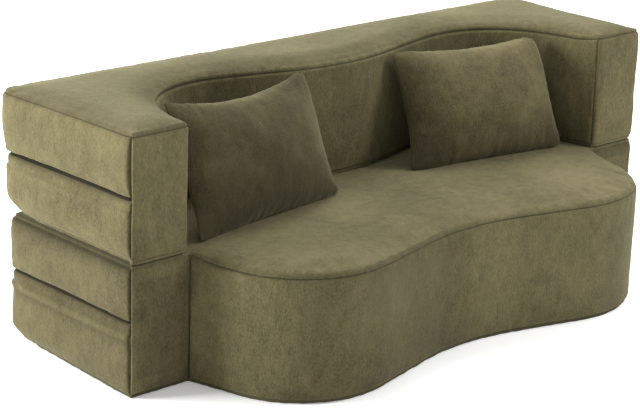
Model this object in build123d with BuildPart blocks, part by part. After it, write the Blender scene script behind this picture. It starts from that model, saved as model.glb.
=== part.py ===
from build123d import *

import math
import os

# Folding sofa bed: two foam blocks cut from one slab by a wave, joined by a fabric fold.
# Millimetres, +Z up, X along the width, the seat's front towards -Y.
# The origin is on the floor under the middle of the folded sofa.

os.makedirs("parts", exist_ok=True)

# Driving sizes of the slab and its two blocks
overall_width = 1905.0
block_depth = 540.0
seat_height = 356.0
back_height = 340.0
back_crown = 8.0
seat_crown = 5.0
arm_width = 190.0

# The wave that parts the two blocks, seen from above
lobe_depth = 342.0
middle_depth = 256.0
wave_corner_radius = 264.0
flank_lean = 14.0
wave_straight_share = 0.435
lobe_radius_share = 0.357

# Gaps: round the wave, at the arm faces, between the stacked blocks and inside the covers
wave_gap = 8.0
face_gap = 3.0
rest_gap = 0.6
fit_gap = 0.3

# Covers
cover_thickness = 2.5
back_corner_radius = 28.0
front_corner_radius = 12.0
arm_tip_radius = 10.0
seam_drop = 8.0
corner_seam_setback = 7.0
comfort_layer = 50.0
seat_zip_height_share = 0.57
back_zip_height_share = 0.5

# How the covers draw in towards their seams
side_edge_inset = 14.0
front_edge_inset = 6.0
edge_roll_height = 14.0
crease_inset = 12.0
crease_reach = 34.0
side_bulge_share = 0.42
roll_shares = ((0.0, 1.0), (0.3, 0.52), (1.0, 0.16))
crease_shoulder_share = 0.25
crown_side_insets = (44.0, 70.0)
crown_front_insets = (34.0, 58.0)
crown_height_shares = (0.66, 1.0)
seat_crown_insets = (40.0, 75.0, 125.0)
seat_crown_height_shares = (0.0, 0.62, 1.0)

# Fabric fold that joins the blocks at the arms' front edges
leaf_height = 34.0
leaf_thickness = 2.3
leaf_end_margin = 14.0
leaf_face_gap = 0.4

# Zips round the sides and back of each block
zip_tape_width = 8.0
zip_teeth_width = 4.4
zip_teeth_thickness = 2.0
zip_teeth_seat = 1.0
zip_end_margin = 12.0
chain_overrun = 60.0
slider_length = 14.0
slider_plate = 1.5
slider_flange = 2.0
slider_flange_drop = 1.6
slider_side_gap = 0.4
slider_park = 40.0
bridge_half_length = 4.8
bridge_post = 1.6
bridge_width = 3.0
bridge_opening = 2.4
bridge_bar = 1.2
slider_corner_radius = 2.0
pull_seat_gap = 0.5
pull_thickness = 1.4
pull_width = 7.0
pull_rail = 1.6
pull_eye = 5.2
pull_tail = 18.0
pull_end_radius = 0.6

# Throw pillows
pillow_width = 508.0
pillow_height = 356.0
pillow_half_thickness = 74.0
pillow_cover_thickness = 2.0
pillow_side_bow = 20.0
pillow_top_bow = 24.0
pillow_bottom_bow = 10.0
pillow_inset_shares = (0.0, 0.16, 0.42, 0.8, 1.25, 1.7)
pillow_rise_shares = (0.0, 0.26, 0.53, 0.78, 0.94, 1.0)
pillow_bow_shares = (1.0, 0.8, 0.45, 0.1, -0.15, -0.25)
pillow_seam_allowance = 3.0
pillow_zip_length = 200.0
pillow_zip_thickness = 1.6
pillow_zip_stand = 2.4
pillow_zip_seat = 2.6
pillow_slider_length = 9.0
pillow_slider_reach = 2.0
pillow_slider_plate = 1.1
pillow_rest_lift = 0.3

# Where each pillow's bottom edge stands: middle of the edge from its arm and from the fold
# line, turn about the vertical and lean backwards
left_pillow_from_arm = 339.5
left_pillow_from_fold = 70.0
left_pillow_turn = 7.5
left_pillow_lean = 20.5
right_pillow_from_arm = 328.0
right_pillow_from_fold = 90.0
right_pillow_turn = -9.0
right_pillow_lean = 24.0

# Places worked out from the driving sizes
half_width = overall_width / 2
fold_y = (lobe_depth - block_depth) / 2
back_y = fold_y + block_depth
back_base = seat_height + rest_gap
seat_zip_z = seat_height * seat_zip_height_share
back_zip_z = back_base + back_height * back_zip_height_share
fold_z = seat_height + rest_gap / 2
face_line_y = fold_y + face_gap
seam_y = face_line_y + corner_seam_setback
foam_skin = cover_thickness + fit_gap


# The wave's points left of the middle, moved outwards from the lobes by grow
def wave_half(grow):
    lean = math.radians(flank_lean)
    start_x = arm_width - half_width
    peak_y = fold_y - lobe_depth
    middle_y = fold_y - middle_depth
    centre_y = peak_y + wave_corner_radius
    drop = fold_y - centre_y + wave_corner_radius * math.sin(lean)
    peak_x = start_x + wave_corner_radius * math.cos(lean) + drop * math.tan(lean)
    reach = abs(peak_x)
    straight = wave_straight_share * reach
    slope = 2 * math.atan((middle_y - peak_y) / (reach + straight))
    radii = (reach - straight * math.cos(slope)) / math.sin(slope)
    lobe_radius = lobe_radius_share * radii
    middle_radius = radii - lobe_radius

    corner = wave_corner_radius + grow
    lobe = lobe_radius + grow
    middle = middle_radius - grow
    half_turn = (math.radians(90) - lean) / 2 + lean
    flank_end = (peak_x - corner * math.cos(lean), centre_y - corner * math.sin(lean))
    corner_mid = (
        peak_x - corner * math.cos(half_turn),
        centre_y - corner * math.sin(half_turn),
    )
    peak = (peak_x, peak_y - grow)
    lobe_mid = (
        peak_x + lobe * math.sin(slope / 2),
        peak_y + lobe_radius - lobe * math.cos(slope / 2),
    )
    lobe_end = (
        peak_x + lobe * math.sin(slope),
        peak_y + lobe_radius - lobe * math.cos(slope),
    )
    middle_start = (
        -middle * math.sin(slope),
        middle_y - middle_radius + middle * math.cos(slope),
    )
    middle_top = (0.0, middle_y - grow)
    return flank_end, corner_mid, peak, lobe_mid, lobe_end, middle_start, middle_top


# Where the wave's flank meets the line y, on the left
def flank_x(grow, y):
    flank_end = wave_half(grow)[0]
    return flank_end[0] - (y - flank_end[1]) * math.tan(math.radians(flank_lean))


def as_drawn(point):
    return point


def mirrored_x(point):
    return (-point[0], point[1])


def mirrored_fold(point):
    return (point[0], 2 * fold_y - point[1])


# Lines and arcs of the wave from its left flank to its right flank.
# In the back block the wave is turned over the fold line.
def draw_wave(grow, start, end, turn):
    half = wave_half(grow)
    left = [turn(point) for point in half]
    right = [turn(mirrored_x(point)) for point in half]
    Line(start, left[0])
    ThreePointArc(left[0], left[1], left[2])
    ThreePointArc(left[2], left[3], left[4])
    Line(left[4], left[5])
    ThreePointArc(left[5], left[6], right[5])
    Line(right[5], right[4])
    ThreePointArc(right[4], right[3], right[2])
    ThreePointArc(right[2], right[1], right[0])
    Line(right[0], end)


# Sides, back and rounded corners shared by both blocks, from the right face to the left
def draw_box_sides(side, face_y, inner_x):
    side_x = half_width - side
    rear = back_y - side
    front = front_corner_radius
    rounding = back_corner_radius
    bend = 1 - math.cos(math.radians(45))
    for hand in (-1, 1):
        Line((hand * inner_x, face_y), (hand * (side_x - front), face_y))
        ThreePointArc(
            (hand * (side_x - front), face_y),
            (hand * (side_x - front * bend), face_y + front * bend),
            (hand * side_x, face_y + front),
        )
        Line((hand * side_x, face_y + front), (hand * side_x, rear - rounding))
        ThreePointArc(
            (hand * side_x, rear - rounding),
            (hand * (side_x - rounding * bend), rear - rounding * bend),
            (hand * (side_x - rounding), rear),
        )
    Line((side_x - rounding, rear), (rounding - side_x, rear))


# The seat block's outline, drawn in by side at its sides and back and by front elsewhere
def seat_outline(level, side, front):
    face_y = fold_y + face_gap + front
    start_x = flank_x(-front, face_y)
    with BuildSketch(Plane.XY.offset(level)) as section:
        with BuildLine():
            draw_wave(-front, (start_x, face_y), (-start_x, face_y), as_drawn)
            draw_box_sides(side, face_y, -start_x)
        make_face()
    return section.sketch


# The back block's outline, a U round the cavity, with rounded inner tips on its arms
def back_outline(level, side, front):
    grow = wave_gap + front
    face_y = fold_y + face_gap + front
    tip_x = flank_x(grow, 2 * fold_y - face_y)
    lean = math.radians(flank_lean)
    half_angle = (math.radians(90) + lean) / 2
    tangent = arm_tip_radius / math.tan(half_angle)
    stand = arm_tip_radius / math.sin(half_angle) - arm_tip_radius
    on_face = (tip_x - tangent, face_y)
    on_flank = (tip_x + tangent * math.sin(lean), face_y + tangent * math.cos(lean))
    bisector = math.radians(180) - half_angle
    on_tip = (tip_x + stand * math.cos(bisector), face_y + stand * math.sin(bisector))
    with BuildSketch(Plane.XY.offset(level)) as section:
        with BuildLine():
            draw_wave(grow, on_flank, mirrored_x(on_flank), mirrored_fold)
            ThreePointArc(on_flank, on_tip, on_face)
            ThreePointArc(
                mirrored_x(on_flank), mirrored_x(on_tip), mirrored_x(on_face)
            )
            draw_box_sides(side, face_y, -on_face[0])
        make_face()
    return section.sketch


# Levels of a block: height, inset at the sides and back, inset at the front and wave.
# The covers draw in at the seams, swell between them and dip at the zip.
def levels_to_zip(rise):
    levels = []
    for rise_share, inset_share in roll_shares:
        levels.append(
            (
                edge_roll_height * rise_share,
                side_edge_inset * inset_share,
                front_edge_inset * inset_share,
            )
        )
    levels.append((rise * side_bulge_share, 0.0, 0.0))
    levels.append((rise - crease_reach, crease_inset * crease_shoulder_share, 0.0))
    return levels


def block_levels(height, crown, zip_share):
    zip_rise = height * zip_share
    above = levels_to_zip(height - zip_rise)
    levels = levels_to_zip(zip_rise) + [(zip_rise, crease_inset, 0.0)]
    levels += [(height - z, side, front) for z, side, front in reversed(above)]
    if crown > 0:
        for share, side, front in zip(
            crown_height_shares, crown_side_insets, crown_front_insets
        ):
            levels.append((height + crown * share, side, front))
    return levels


# One block as a loft through its levels, drawn in all round by skin
def block_body(outline, base, height, crown, zip_share, skin):
    levels = block_levels(height, crown, zip_share)
    total = levels[-1][0]
    with BuildPart() as body:
        for z, side, front in levels:
            level = base + skin + z * (total - 2 * skin) / total
            add(outline(level, side + skin, front + skin))
        loft(ruled=True)
    return body.part


# The low crown of the seat inside the cavity, lowered by drop under the cover
def seat_dome(drop):
    with BuildPart() as dome:
        for share, inset in zip(seat_crown_height_shares, seat_crown_insets):
            level = seat_height - drop + seat_crown * share
            tip_x = flank_x(-inset, fold_y)
            with BuildSketch(Plane.XY.offset(level)):
                with BuildLine():
                    draw_wave(-inset, (tip_x, fold_y), (-tip_x, fold_y), as_drawn)
                    draw_wave(-inset, (tip_x, fold_y), (-tip_x, fold_y), mirrored_fold)
                make_face()
        loft(ruled=True)
    return dome.part


# The part of a shape between two heights
def between_heights(shape, low, high):
    with BuildPart() as piece:
        add(shape)
        split(bisect_by=Plane.XY.offset(low), keep=Keep.TOP)
        split(bisect_by=Plane.XY.offset(high), keep=Keep.BOTTOM)
    return piece.part


# The part of a shape in front of a plane across the sofa at y, or behind it
def cut_at_y(shape, y, kept):
    with BuildPart() as piece:
        add(shape)
        split(bisect_by=Plane.XZ.offset(-y), keep=kept)
    return piece.part


# The left or right half of a shape
def one_side(shape, kept):
    with BuildPart() as piece:
        add(shape)
        split(bisect_by=Plane.YZ, keep=kept)
    return piece.part


def write(shape, name):
    shape.label = name
    export_step(shape, f"parts/{name}.step")


in_front = Keep.TOP
behind = Keep.BOTTOM
on_right = Keep.TOP
on_left = Keep.BOTTOM


# Cover walls of one block between its top and bottom seams
def cover_shell(outline, base, height, crown, zip_share):
    outer = block_body(outline, base, height, crown, zip_share, 0.0)
    inner = block_body(outline, base, height, crown, zip_share, cover_thickness)
    with BuildPart() as shell:
        add(outer)
        add(inner, mode=Mode.SUBTRACT)
    return shell.part


# The side and back band of a cover in three strips: below, along and above the zip
def write_side_bands(band, base, height, zip_z, name):
    zip_low = zip_z - zip_tape_width / 2
    zip_high = zip_low + zip_tape_width
    write(between_heights(band, base, zip_low), f"{name}_side_band_lower")
    write(between_heights(band, zip_low, zip_high), f"{name}_zip_tape")
    write(between_heights(band, zip_high, base + height), f"{name}_side_band_upper")


# Seat block: covers
seat_shell = cover_shell(
    seat_outline, 0.0, seat_height, 0.0, seat_zip_height_share
)
seat_walls = between_heights(seat_shell, seam_drop, seat_height - seam_drop)

with BuildPart() as seat_bottom_panel:
    add(seat_shell)
    split(bisect_by=Plane.XY.offset(seam_drop), keep=Keep.BOTTOM)
write(seat_bottom_panel.part, "seat_bottom_panel")

with BuildPart() as seat_top_panel:
    add(seat_shell)
    split(bisect_by=Plane.XY.offset(seat_height - seam_drop), keep=Keep.TOP)
    add(seat_dome(0.0))
    add(seat_dome(cover_thickness), mode=Mode.SUBTRACT)
write(seat_top_panel.part, "seat_top_panel")

seat_front_walls = cut_at_y(seat_walls, seam_y, in_front)
write(cut_at_y(seat_front_walls, fold_y, in_front), "seat_front_band")
shoulders = cut_at_y(seat_front_walls, fold_y, behind)
write(one_side(shoulders, on_left), "seat_shoulder_panel_left")
write(one_side(shoulders, on_right), "seat_shoulder_panel_right")
seat_bands = cut_at_y(seat_walls, seam_y, behind)
write_side_bands(seat_bands, 0.0, seat_height, seat_zip_z, "seat")

# Seat block: support foam with a comfort layer on top, crowned like its cover
seat_foam = block_body(
    seat_outline, 0.0, seat_height, 0.0, seat_zip_height_share, foam_skin
)
seat_layer_z = seat_height - foam_skin - comfort_layer

with BuildPart() as seat_support_foam:
    add(seat_foam)
    split(bisect_by=Plane.XY.offset(seat_layer_z), keep=Keep.BOTTOM)
write(seat_support_foam.part, "seat_support_foam")

with BuildPart() as seat_comfort_foam:
    add(seat_foam)
    split(bisect_by=Plane.XY.offset(seat_layer_z), keep=Keep.TOP)
    add(seat_dome(foam_skin))
write(seat_comfort_foam.part, "seat_comfort_foam")

# Back block: covers
back_shell = cover_shell(
    back_outline, back_base, back_height, back_crown, back_zip_height_share
)
back_low_seam = back_base + seam_drop
back_high_seam = back_base + back_height - seam_drop
back_walls = between_heights(back_shell, back_low_seam, back_high_seam)

with BuildPart() as back_sleep_panel:
    add(back_shell)
    split(bisect_by=Plane.XY.offset(back_low_seam), keep=Keep.BOTTOM)
write(back_sleep_panel.part, "back_sleep_panel")

with BuildPart() as back_top_panel:
    add(back_shell)
    split(bisect_by=Plane.XY.offset(back_high_seam), keep=Keep.TOP)
write(back_top_panel.part, "back_top_panel")

arm_fronts = cut_at_y(back_walls, seam_y, in_front)
write(one_side(arm_fronts, on_left), "arm_front_panel_left")
write(one_side(arm_fronts, on_right), "arm_front_panel_right")

back_rings = cut_at_y(back_walls, seam_y, behind).solids()
back_rings = sorted(back_rings, key=lambda ring: ring.bounding_box().size.X)
write(Part() + back_rings[0], "back_cavity_band")
write_side_bands(back_rings[1], back_base, back_height, back_zip_z, "back")

# Back block: support foam over the comfort layer that becomes the bed's surface
back_foam = block_body(
    back_outline,
    back_base,
    back_height,
    back_crown,
    back_zip_height_share,
    foam_skin,
)
back_layer_z = back_base + foam_skin + comfort_layer

with BuildPart() as back_support_foam:
    add(back_foam)
    split(bisect_by=Plane.XY.offset(back_layer_z), keep=Keep.TOP)
write(back_support_foam.part, "back_support_foam")

with BuildPart() as back_comfort_foam:
    add(back_foam)
    split(bisect_by=Plane.XY.offset(back_layer_z), keep=Keep.BOTTOM)
write(back_comfort_foam.part, "back_comfort_foam")


# Fabric fold: one leaf of doubled cloth on the seat's shoulder, one on the arm above it
leaf_width = arm_width - 2 * leaf_end_margin
leaf_x = half_width - leaf_end_margin - leaf_width / 2
leaf_y = fold_y + leaf_face_gap + leaf_thickness / 2
leaf_rise = rest_gap / 2 + leaf_height / 2
for side_name, hand in (("left", -1), ("right", 1)):
    for block_name, up in (("seat", -1), ("back", 1)):
        with BuildPart() as leaf:
            with Locations((hand * leaf_x, leaf_y, fold_z + up * leaf_rise)):
                Box(leaf_width, leaf_thickness, leaf_height)
        write(leaf.part, f"fold_leaf_{block_name}_{side_name}")


# Zip chain round three sides of a block, seated on the tape in the drawn-in crease.
# Its loop is drawn past the block's front and cut off square behind the front seam.
teeth_inset = crease_inset - zip_teeth_seat
teeth_crown_inset = teeth_inset - zip_teeth_thickness
chain_front_y = face_line_y - chain_overrun
chain_middle_y = (chain_front_y + back_y) / 2
chain_depth = back_y - chain_front_y


def chain_rectangle(inset, mode):
    centre_inset = crease_inset + back_corner_radius
    with Locations((0.0, chain_middle_y)):
        RectangleRounded(
            overall_width - 2 * inset,
            chain_depth - 2 * inset,
            centre_inset - inset,
            mode=mode,
        )


def zip_chain(zip_z, name):
    with BuildPart() as chain:
        with BuildSketch(Plane.XY.offset(zip_z - zip_teeth_width / 2)):
            chain_rectangle(teeth_crown_inset, Mode.ADD)
            chain_rectangle(teeth_inset, Mode.SUBTRACT)
        extrude(amount=zip_teeth_width)
        split(bisect_by=Plane.XZ.offset(-seam_y - zip_end_margin), keep=behind)
    write(chain.part, name)


zip_chain(seat_zip_z, "seat_zip_teeth")
zip_chain(back_zip_z, "back_zip_teeth")

# Zip slider and its pull, parked near the front end of the zip on the right side.
# The slider's plane lies on the teeth, with its own X along the zip and Z outwards.
slider_x = half_width - teeth_crown_inset + fit_gap
slider_y = seam_y + slider_park
slider_half_width = zip_teeth_width / 2 + slider_side_gap + slider_flange
flange_place = slider_half_width - slider_flange / 2
post_place = bridge_half_length - bridge_post / 2
pull_plane_rise = slider_plate + pull_seat_gap + pull_thickness / 2


def zip_slider(zip_z, name):
    seat = Plane(origin=(slider_x, slider_y, zip_z), x_dir=(0, 1, 0), z_dir=(1, 0, 0))
    with BuildPart() as slider:
        with BuildSketch(seat):
            RectangleRounded(slider_length, 2 * slider_half_width, slider_corner_radius)
        extrude(amount=slider_plate)
        with BuildSketch(seat):
            with Locations((0, flange_place), (0, -flange_place)):
                Rectangle(slider_length - 2 * slider_corner_radius, slider_flange)
        extrude(amount=-slider_flange_drop)
        with BuildSketch(seat.offset(slider_plate)):
            with Locations((post_place, 0), (-post_place, 0)):
                Rectangle(bridge_post, bridge_width)
        extrude(amount=bridge_opening)
        with BuildSketch(seat.offset(slider_plate + bridge_opening)):
            Rectangle(2 * bridge_half_length, bridge_width)
        extrude(amount=bridge_bar)
    write(slider.part, name)


# The pull lies flat towards the front, with the bar of its eye under the slider's bridge
def zip_pull(zip_z, name):
    seat = Plane(origin=(slider_x, slider_y, zip_z), x_dir=(0, 1, 0), z_dir=(1, 0, 0))
    length = pull_thickness + pull_eye + pull_tail
    with BuildPart() as pull:
        with BuildSketch(seat.offset(pull_plane_rise)):
            with Locations((pull_thickness / 2 - length / 2, 0)):
                RectangleRounded(length, pull_width, pull_end_radius)
            with Locations((-pull_thickness / 2 - pull_eye / 2, 0)):
                Rectangle(pull_eye, pull_width - 2 * pull_rail, mode=Mode.SUBTRACT)
            with Locations((pull_thickness / 2 - length + pull_width / 2, 0)):
                Circle(pull_rail, mode=Mode.SUBTRACT)
        extrude(amount=pull_thickness / 2, both=True)
    write(pull.part, name)


for block_name, zip_z in (("seat", seat_zip_z), ("back", back_zip_z)):
    zip_slider(zip_z, f"{block_name}_zip_slider")
    zip_pull(zip_z, f"{block_name}_zip_pull")


# A pillow's own plane: X along its width, Y up its height, Z out of its front
def pillow_plane(place, turn, lean):
    turn = math.radians(turn)
    lean = math.radians(lean)
    across = Vector(math.cos(turn), math.sin(turn), 0)
    backward = Vector(-math.sin(turn), math.cos(turn), 0)
    upright = backward * math.sin(lean) + Vector(0, 0, math.cos(lean))
    rest_z = seat_height + seat_crown + pillow_rest_lift
    foot = Vector(place[0], fold_y + place[1], rest_z)
    return Plane(
        origin=foot + upright * (pillow_height / 2),
        x_dir=across,
        z_dir=across.cross(upright),
    )


# Half of a pillow: the outline shrinks and its drawn-in sides fill out as it rises
def pillow_half(plane, side, shrink, sink):
    rise = pillow_half_thickness - sink
    with BuildPart() as half:
        for inset_share, rise_share, bow_share in zip(
            pillow_inset_shares, pillow_rise_shares, pillow_bow_shares
        ):
            inset = pillow_half_thickness * inset_share + shrink
            x = pillow_width / 2 - inset
            y = pillow_height / 2 - inset
            with BuildSketch(plane.offset(side * rise * rise_share)):
                with BuildLine():
                    bottom = (0, pillow_bottom_bow * bow_share - y)
                    right = (x - pillow_side_bow * bow_share, 0)
                    top = (0, y - pillow_top_bow * bow_share)
                    left = (pillow_side_bow * bow_share - x, 0)
                    ThreePointArc((-x, -y), bottom, (x, -y))
                    ThreePointArc((x, -y), right, (x, y))
                    ThreePointArc((x, y), top, (-x, y))
                    ThreePointArc((-x, y), left, (-x, -y))
                make_face()
        loft()
    return half.part


# The zip stands a little out of the bottom seam, which curves away from the zip's ends
zip_seam_sag = pillow_bottom_bow * (pillow_zip_length / pillow_width) ** 2
pillow_zip_low = (
    pillow_bottom_bow - pillow_height / 2 - zip_seam_sag - pillow_zip_stand
)
pillow_zip_depth = pillow_zip_stand + pillow_zip_seat
filling_shrink = pillow_seam_allowance + fit_gap


def pillow_zip_strip(plane, margin):
    with BuildPart() as strip:
        with BuildSketch(plane):
            with Locations((0, pillow_zip_low + pillow_zip_depth / 2)):
                Rectangle(pillow_zip_length + 2 * margin, pillow_zip_depth + 2 * margin)
        extrude(amount=pillow_zip_thickness / 2 + margin, both=True)
    return strip.part


def pillow_slider(plane, name):
    groove = pillow_zip_thickness + 2 * fit_gap
    low = pillow_zip_low - fit_gap
    height = pillow_slider_plate + pillow_slider_reach
    start = pillow_slider_length / 2 - pillow_zip_length / 2
    with BuildPart() as slider:
        with BuildSketch(plane):
            with Locations((start, low - pillow_slider_plate + height / 2)):
                RectangleRounded(pillow_slider_length, height, pillow_slider_plate)
        extrude(amount=groove / 2 + pillow_slider_plate, both=True)
        with BuildSketch(plane):
            with Locations((start, low + pillow_slider_reach / 2)):
                Rectangle(pillow_slider_length, pillow_slider_reach)
        extrude(amount=groove / 2, both=True, mode=Mode.SUBTRACT)
    write(slider.part, name)


def pillow(place, turn, lean, name):
    plane = pillow_plane(place, turn, lean)
    strip = pillow_zip_strip(plane, 0.0)
    slot = pillow_zip_strip(plane, fit_gap)
    for face_name, side in (("front", 1), ("back", -1)):
        with BuildPart() as cover:
            add(pillow_half(plane, side, 0.0, 0.0))
            add(
                pillow_half(plane, side, pillow_seam_allowance, pillow_cover_thickness),
                mode=Mode.SUBTRACT,
            )
            add(slot, mode=Mode.SUBTRACT)
        write(cover.part, f"{name}_{face_name}_cover")
    with BuildPart() as filling:
        for side in (1, -1):
            sink = pillow_cover_thickness + fit_gap
            add(pillow_half(plane, side, filling_shrink, sink))
    write(filling.part, f"{name}_filling")
    write(strip, f"{name}_zip_tape")
    pillow_slider(plane, f"{name}_zip_slider")


arm_inner_x = half_width - arm_width
left_pillow_place = (left_pillow_from_arm - arm_inner_x, left_pillow_from_fold)
right_pillow_place = (arm_inner_x - right_pillow_from_arm, right_pillow_from_fold)
pillow(left_pillow_place, left_pillow_turn, left_pillow_lean, "left_pillow")
pillow(right_pillow_place, right_pillow_turn, right_pillow_lean, "right_pillow")
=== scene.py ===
import math
from types import SimpleNamespace

import bmesh
import bpy
import numpy as np
from mathutils import Matrix, Vector
from mathutils.geometry import delaunay_2d_cdt


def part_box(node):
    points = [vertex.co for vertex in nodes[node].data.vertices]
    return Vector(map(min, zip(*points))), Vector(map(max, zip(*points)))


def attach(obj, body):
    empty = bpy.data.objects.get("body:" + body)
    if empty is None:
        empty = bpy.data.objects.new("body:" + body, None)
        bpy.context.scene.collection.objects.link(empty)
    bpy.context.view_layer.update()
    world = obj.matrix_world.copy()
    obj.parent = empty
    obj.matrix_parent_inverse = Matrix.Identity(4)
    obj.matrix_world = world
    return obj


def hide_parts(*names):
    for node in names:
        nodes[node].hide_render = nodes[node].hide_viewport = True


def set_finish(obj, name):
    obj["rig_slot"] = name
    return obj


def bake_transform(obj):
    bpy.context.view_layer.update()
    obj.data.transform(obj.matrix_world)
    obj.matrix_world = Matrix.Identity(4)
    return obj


# Folding sofa bed: two velvet-covered foam blocks and two throw pillows.
# Metres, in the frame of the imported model: +Z up, the seat's front towards -Y.

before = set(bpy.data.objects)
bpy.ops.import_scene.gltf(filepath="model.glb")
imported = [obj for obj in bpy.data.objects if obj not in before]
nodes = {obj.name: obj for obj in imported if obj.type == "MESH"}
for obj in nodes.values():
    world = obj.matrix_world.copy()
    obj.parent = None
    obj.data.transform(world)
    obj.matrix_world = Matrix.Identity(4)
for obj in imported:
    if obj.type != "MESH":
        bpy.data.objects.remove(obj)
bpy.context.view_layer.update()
scene = bpy.context.scene
mm = 0.001
print("stage: frame loaded,", len(nodes), "nodes")


# Places read from the frame
shoulderLow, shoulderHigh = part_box("seat_shoulder_panel_left")
bandLow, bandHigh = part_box("seat_front_band")
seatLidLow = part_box("seat_top_panel")[0]
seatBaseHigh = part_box("seat_bottom_panel")[1]
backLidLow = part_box("back_top_panel")[0]
backBaseLow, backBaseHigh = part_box("back_sleep_panel")
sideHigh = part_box("seat_side_band_upper")[1]
seatZipLow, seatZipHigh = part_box("seat_zip_tape")
backZipLow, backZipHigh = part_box("back_zip_tape")
halfWidth = sideHigh.x
backY = sideHigh.y
foldY = shoulderLow.y
seamY = shoulderHigh.y
foldZ = (seatLidLow.z + backBaseHigh.z) / 2
farAway = 9.0  # beyond every seam and edge

# The wave that parts the two blocks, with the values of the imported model
wave = {
    "startX": bandLow.x,
    "lobeDepth": foldY - bandLow.y,
    "middleDepth": 256 * mm,
    "cornerRadius": 264 * mm,
    "flankLean": math.radians(14),
    "straightShare": 0.435,
    "lobeRadiusShare": 0.357,
    "gap": 8 * mm,
    "faceGap": 3 * mm,
    "step": 4 * mm,
    "cornerStep": 3 * mm,
}


# Points of an arc about a centre, from one angle to another
def arcPoints(centre, radius, startAngle, endAngle, step=wave["step"]):
    count = max(3, int(abs(endAngle - startAngle) * radius / step) + 1)
    angles = np.linspace(startAngle, endAngle, count)
    return np.stack([centre[0] + radius * np.cos(angles), centre[1] + radius * np.sin(angles)], -1)


# The wave from its left flank to its right, moved out of the lobes by grow
def waveLine(grow, faceY, turnedOver):
    lean = wave["flankLean"]
    radius = wave["cornerRadius"]
    peakY = foldY - wave["lobeDepth"]
    middleY = foldY - wave["middleDepth"]
    centreY = peakY + radius
    drop = foldY - centreY + radius * math.sin(lean)
    peakX = wave["startX"] + radius * math.cos(lean) + drop * math.tan(lean)
    straight = wave["straightShare"] * abs(peakX)
    slope = 2 * math.atan((middleY - peakY) / (abs(peakX) + straight))
    radii = (abs(peakX) - straight * math.cos(slope)) / math.sin(slope)
    lobeRadius = wave["lobeRadiusShare"] * radii
    middleRadius = radii - lobeRadius
    corner = arcPoints((peakX, centreY), radius + grow, math.pi + lean, 1.5 * math.pi)
    lobe = arcPoints((peakX, peakY + lobeRadius), lobeRadius + grow, 1.5 * math.pi, 1.5 * math.pi + slope)
    middle = arcPoints((0, middleY - middleRadius), middleRadius - grow, math.pi / 2 + slope, math.pi / 2)
    half = np.vstack([corner, lobe[1:], middle])
    lineY = 2 * foldY - faceY if turnedOver else faceY
    startX = half[0, 0] - (lineY - half[0, 1]) * math.tan(lean)
    half = np.vstack([[(startX, lineY)], half])
    line = np.vstack([half, half[-2::-1] * [-1, 1]])
    if turnedOver:
        line[:, 1] = 2 * foldY - line[:, 1]
    return line


# The arc that replaces a corner between two straight runs
def roundedCorner(before, corner, after, radius):
    before, corner, after = (Vector(p) for p in (before, corner, after))
    toBefore = (before - corner).normalized()
    toAfter = (after - corner).normalized()
    half = toBefore.angle(toAfter) / 2
    middle = (toBefore + toAfter).normalized()
    centre = corner + middle * radius / math.sin(half)
    start = corner + toBefore * radius / math.tan(half) - centre
    sweep = math.pi - 2 * half
    turn = 1 if start.x * -toBefore.y + start.y * toBefore.x > 0 else -1
    first = math.atan2(start.y, start.x)
    return arcPoints(centre, radius, first, first + turn * sweep, wave["cornerStep"])


# Closed outline of a block seen from above, anticlockwise, with the number of points in its
# wave and the first point, last point and radius of each rounded corner
def blockOutline(style):
    faceY = foldY + wave["faceGap"]
    outer = [(halfWidth, faceY), (halfWidth, backY), (-halfWidth, backY), (-halfWidth, faceY)]
    grow = wave["gap"] if style["turnedOver"] else 0.0
    line = waveLine(grow, faceY, style["turnedOver"])
    if style["turnedOver"]:
        tip = roundedCorner((-halfWidth, faceY), line[0], line[1], style["tipRadius"])
        line = np.vstack([tip, line[1:-1], tip[::-1] * [-1, 1]])
    radii = [style["frontRadius"], style["backRadius"], style["backRadius"], style["frontRadius"]]
    around = [line[-1], *outer, line[0]]
    arcs = [roundedCorner(around[i], around[i + 1], around[i + 2], radii[i]) for i in range(4)]
    bends = []
    first = len(line)
    if style["turnedOver"]:
        bends = [(0, len(tip) - 1, style["tipRadius"]), (first - len(tip), first - 1, style["tipRadius"])]
    for arc, radius in zip(arcs, radii):
        bends.append((first, first + len(arc) - 1, radius))
        first += len(arc)
    return np.vstack([line, *arcs]), len(line), bends


# Lattice noise from -1 to 1, the same on every run
def latticeNoise(points, seed):
    points = np.asarray(points, float)
    cell = np.floor(points).astype(np.int64)
    share = points - cell
    share = share * share * (3 - 2 * share)
    total = np.zeros(len(points))
    for corner in range(8):
        offset = np.array([corner & 1, corner >> 1 & 1, corner >> 2 & 1])
        key = (cell + offset) * np.array([73856093, 19349663, 83492791])
        mixed = (key[:, 0] ^ key[:, 1] ^ key[:, 2]) + seed * 2654435
        mixed = (mixed ^ (mixed >> 13)) * 1274126177 & 0x7FFFFFFF
        mixed = (mixed ^ (mixed >> 16)) & 0xFFFF
        weight = np.prod(np.where(offset, share, 1 - share), axis=1)
        total += weight * (mixed / 32767.5 - 1)
    return total


# Lattice noise with a finer layer over it
def layeredNoise(points, ratio, seed):
    return latticeNoise(points, seed) + 0.5 * latticeNoise(points * ratio, seed + 1)


def smoothStep(value, low, high):
    t = np.clip((value - low) / (high - low), 0, 1)
    return t * t * (3 - 2 * t)


# 1 at no distance, fading softly over a reach
def bell(gap, reach):
    return np.exp(-((gap / reach) ** 2))


# Share of an edge's inset that is left at a distance from it, as round a quarter circle
def rollShare(gap, reach):
    t = 1 - np.clip(np.asarray(gap, float) / reach, 0, 1)
    return 1 - np.sqrt(1 - t * t)


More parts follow.
